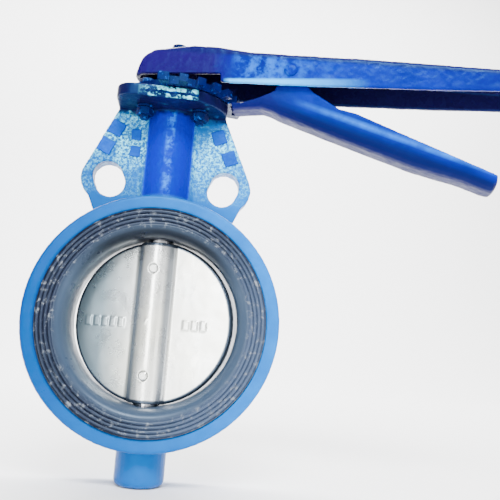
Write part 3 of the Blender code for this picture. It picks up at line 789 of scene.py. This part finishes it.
def extent(name):
    """The middle of a node's box across the stem's axis, and its lowest and highest points."""
    low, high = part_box(name)
    middle = ((low[0] + high[0]) / 2, (low[1] + high[1]) / 2, 0)
    return middle, low[2], high[2]


def hexagon_screw(name, node, place):
    """A hexagon head on a threaded shank, as long as the node that it replaces."""
    _, bottom, top = extent(node)
    bm = bmesh.new()
    add_hexagon(bm, HEXAGON_ACROSS, top - HEAD_HEIGHT, top)
    add_thread(bm, BOLT_RADIUS, bottom, top - HEAD_HEIGHT + THREAD_OVERLAP)
    return mesh_object(name, bm, place)


def make_plate_bolt(number):
    """One of the bolts that hold the notch plate on the flange."""
    name = f"plate_bolt_{number}"
    middle, _, _ = extent(name)
    obj = hexagon_screw(f"hex_bolt_{number}", name, Matrix.Translation(middle))
    piece(obj, PLATE, "valve_body", "fastener_steel", name)


def make_plate_nut(number):
    """The nut under the flange on the bolt with the same number."""
    name = f"plate_nut_{number}"
    middle, bottom, top = extent(name)
    bm = bmesh.new()
    add_hexagon(bm, HEXAGON_ACROSS, bottom, top)
    obj = mesh_object(f"hex_nut_{number}", bm, Matrix.Translation(middle))
    drill(obj, NUT_HOLE_RADIUS, bottom - 0.01, top + 0.01, 32, middle)
    smooth(obj, 35)
    piece(obj, PLATE, "valve_body", "fastener_steel", name)


def make_lever_screw():
    """The screw that holds the lever on the stem."""
    obj = hexagon_screw("hex_screw", "lever_screw", TURNED)
    piece(obj, PLATE, "lever_and_disc", "fastener_steel", "lever_screw")


def make_pivot():
    """The latch's pivot pin, with a low domed head at one end and a chamfer at the other."""
    wall = LEVER_HALF_WIDTH
    tail = -wall - PIN_TAIL
    profile = [(0, wall + 0.0016)]
    for i in range(1, 7):
        angle = math.pi / 2 * i / 6
        profile.append((PIN_HEAD_RADIUS * math.sin(angle), wall + 0.0002 + 0.0014 * math.cos(angle)))
    profile += [(PIN_HEAD_RADIUS, wall), (PIN_RADIUS, wall)]
    profile += [(PIN_RADIUS, tail + 0.0006), (PIN_RADIUS - 0.0006, tail), (0, tail)]
    at_pivot = TURNED @ Matrix.Translation((PIVOT[0], 0, PIVOT[1]))
    obj = lathe("domed_pin", profile, 48, at_pivot @ ALONG_BORE, closed=False)
    piece(obj, LEVER, "lever_and_disc", "pin_steel", "latch_pivot_pin")


def make_spring():
    """A torsion spring wound about the pivot pin, its two ends bent out as legs."""
    coil_radius = SPRING_COIL_RADIUS
    half_length = SPRING_HALF_LENGTH
    per_turn = 28
    count = 5 * per_turn + per_turn // 2
    route = [(0.0150, -half_length, 0.0038), (0.0060, -half_length, 0.0043)]
    for i in range(count + 1):
        angle = math.pi / 2 + math.tau * i / per_turn
        y = -half_length + 2 * half_length * i / count
        route.append((coil_radius * math.cos(angle), y, coil_radius * math.sin(angle)))
    route += [(0.0060, half_length, -0.0090), (0.0154, half_length, -0.0262)]
    curve = bpy.data.curves.new("wound_spring", "CURVE")
    curve.dimensions = "3D"
    curve.bevel_depth = SPRING_WIRE_RADIUS
    curve.bevel_resolution = 3
    curve.use_fill_caps = True
    spline = curve.splines.new("POLY")
    spline.points.add(len(route) - 1)
    for point, place in zip(spline.points, route):
        point.co = (*place, 1)
    wire = new_object("wound_spring_route", curve)
    bpy.context.view_layer.update()
    graph = bpy.context.evaluated_depsgraph_get()
    mesh = bpy.data.meshes.new_from_object(wire.evaluated_get(graph))
    bpy.data.objects.remove(wire, do_unlink=True)
    mesh.transform(TURNED @ Matrix.Translation((PIVOT[0], 0, PIVOT[1])))
    obj = new_object("wound_spring", mesh)
    smooth(obj, 50)
    piece(obj, DARK_STEEL, "lever_and_disc", "spring_steel", "latch_spring")


# Nodes that a piece replaces or that make_disc dresses, and the starts of the rest of their names.
DONE_NODES = ("body_casting", "seat_liner", "disc", "lever", "latch", "lever_screw")
DONE_STARTS = ("latch_pivot_pin", "latch_spring", "plate_bolt", "plate_nut", "taper_pin")


def soften_edges(node, width):
    """Small bevels on a carried-over node's sharp edges."""
    weld = node.modifiers.new("weld", "WELD")
    weld.merge_threshold = 0.000002
    bevel = node.modifiers.new("edges", "BEVEL")
    bevel.width = width
    bevel.segments = 2
    bevel.limit_method = "ANGLE"
    bevel.angle_limit = math.radians(35)
    bevel.harden_normals = True


def dress_nodes():
    """Materials for the CAD nodes that stay as they are."""
    for name, node in NODES.items():
        if name in DONE_NODES or name.startswith(DONE_STARTS):
            continue
        if name in ("notch_plate", "lever_washer") or name.startswith("plate_washer"):
            dress(node, PLATE)
            soften_edges(node, 0.0004 if name == "notch_plate" else 0.0002)
        elif name.endswith("bush"):
            dress(node, POLYMER)
        elif "o_ring" in name:
            dress(node, RUBBER)
        elif "clip" in name or "retaining" in name:
            dress(node, DARK_STEEL)
        else:
            dress(node, STEEL)


# Camera, floor and light

CAMERA_PLACE = Vector((0.01693, -0.4100, -0.01366))
CAMERA_PITCH = -0.15979
CAMERA_YAW = -0.099745
CAMERA_ROLL = 0.089577
SENSOR_WIDTH = 36
LENS = 45.2988


def make_camera():
    """A camera a little below the disc's centre that looks slightly up, at the valve's front."""
    data = bpy.data.cameras.new("camera")
    data.sensor_width = SENSOR_WIDTH
    data.lens = LENS
    data.clip_start = 0.01
    data.clip_end = 20
    camera = bpy.data.objects.new("camera", data)
    SCENE.collection.objects.link(camera)
    level = Matrix(((1, 0, 0), (0, 0, -1), (0, 1, 0)))
    turn = Matrix.Rotation(CAMERA_ROLL, 3, "Z") @ Matrix.Rotation(CAMERA_YAW, 3, "Y")
    turn = turn @ Matrix.Rotation(CAMERA_PITCH, 3, "X")
    to_camera = Matrix.Diagonal((1, -1, -1)) @ turn @ level
    camera.matrix_world = Matrix.Translation(CAMERA_PLACE) @ to_camera.transposed().to_4x4()
    SCENE.camera = camera


def make_backdrop():
    """A pale floor under the bottom boss that curves up into a wall behind the valve."""
    floor = CAD_BOX[0][2] - 0.0005
    back = 1.0
    bend = 0.8
    bm = bmesh.new()
    section = [(-3.0, floor), (back, floor)]
    for i in range(1, 13):
        angle = math.pi / 2 * i / 12
        section.append((back + bend * math.sin(angle), floor + bend * (1 - math.cos(angle))))
    section.append((back + bend, floor + 3.5))
    rows = [[bm.verts.new((x, y, z)) for y, z in section] for x in (-4, 4)]
    for i in range(len(section) - 1):
        bm.faces.new((rows[0][i], rows[1][i], rows[1][i + 1], rows[0][i + 1]))
    mesh = bpy.data.meshes.new("backdrop")
    bm.to_mesh(mesh)
    bm.free()
    obj = new_object("backdrop", mesh)
    obj.data.shade_smooth()
    paper = Shader("backdrop_paper", (0.88, 0.88, 0.88), 0.9)
    dress(obj, paper.material)


def area_light(name, place, target, size, power):
    """A rectangular lamp at a place, turned to its target."""
    data = bpy.data.lights.new(name, "AREA")
    data.shape = "RECTANGLE"
    data.size = size[0]
    data.size_y = size[1]
    data.energy = power
    lamp = bpy.data.objects.new(name, data)
    SCENE.collection.objects.link(lamp)
    lamp.location = place
    lamp.rotation_euler = (Vector(target) - Vector(place)).to_track_quat("-Z", "Y").to_euler()


def make_lights():
    """A tall lamp at the front left, a small window, a broad lamp above, a weak fill and a lit wall."""
    world = bpy.data.worlds.new("studio")
    world.use_nodes = True
    background = world.node_tree.nodes["Background"]
    background.inputs["Color"].default_value = (0.90, 0.95, 1.0, 1)
    background.inputs["Strength"].default_value = 0.18
    SCENE.world = world
    area_light("key", (-0.36, -0.93, 0.10), (0, 0, 0.04), (0.24, 0.75), 11)
    area_light("window", (0.02, -0.98, 0.30), (0, 0, 0.10), (0.14, 0.14), 1.6)
    area_light("front", (0.05, -0.74, 0.76), (0.03, 0, 0.03), (0.6, 0.3), 30)
    area_light("fill", (0.55, -0.85, -0.06), (0.05, 0, 0), (0.3, 0.3), 1.2)
    area_light("wall", (0.0, 0.75, 1.5), (0.0, 1.35, 0.1), (2.6, 0.7), 180)


make_body()
make_pads()
make_flange_beads()
make_seat()
make_disc()
make_lever()
make_latch()
for corner in range(1, 5):
    make_plate_bolt(corner)
    make_plate_nut(corner)
make_lever_screw()
make_pivot()
make_spring()
dress_nodes()
make_camera()
make_backdrop()
make_lights()
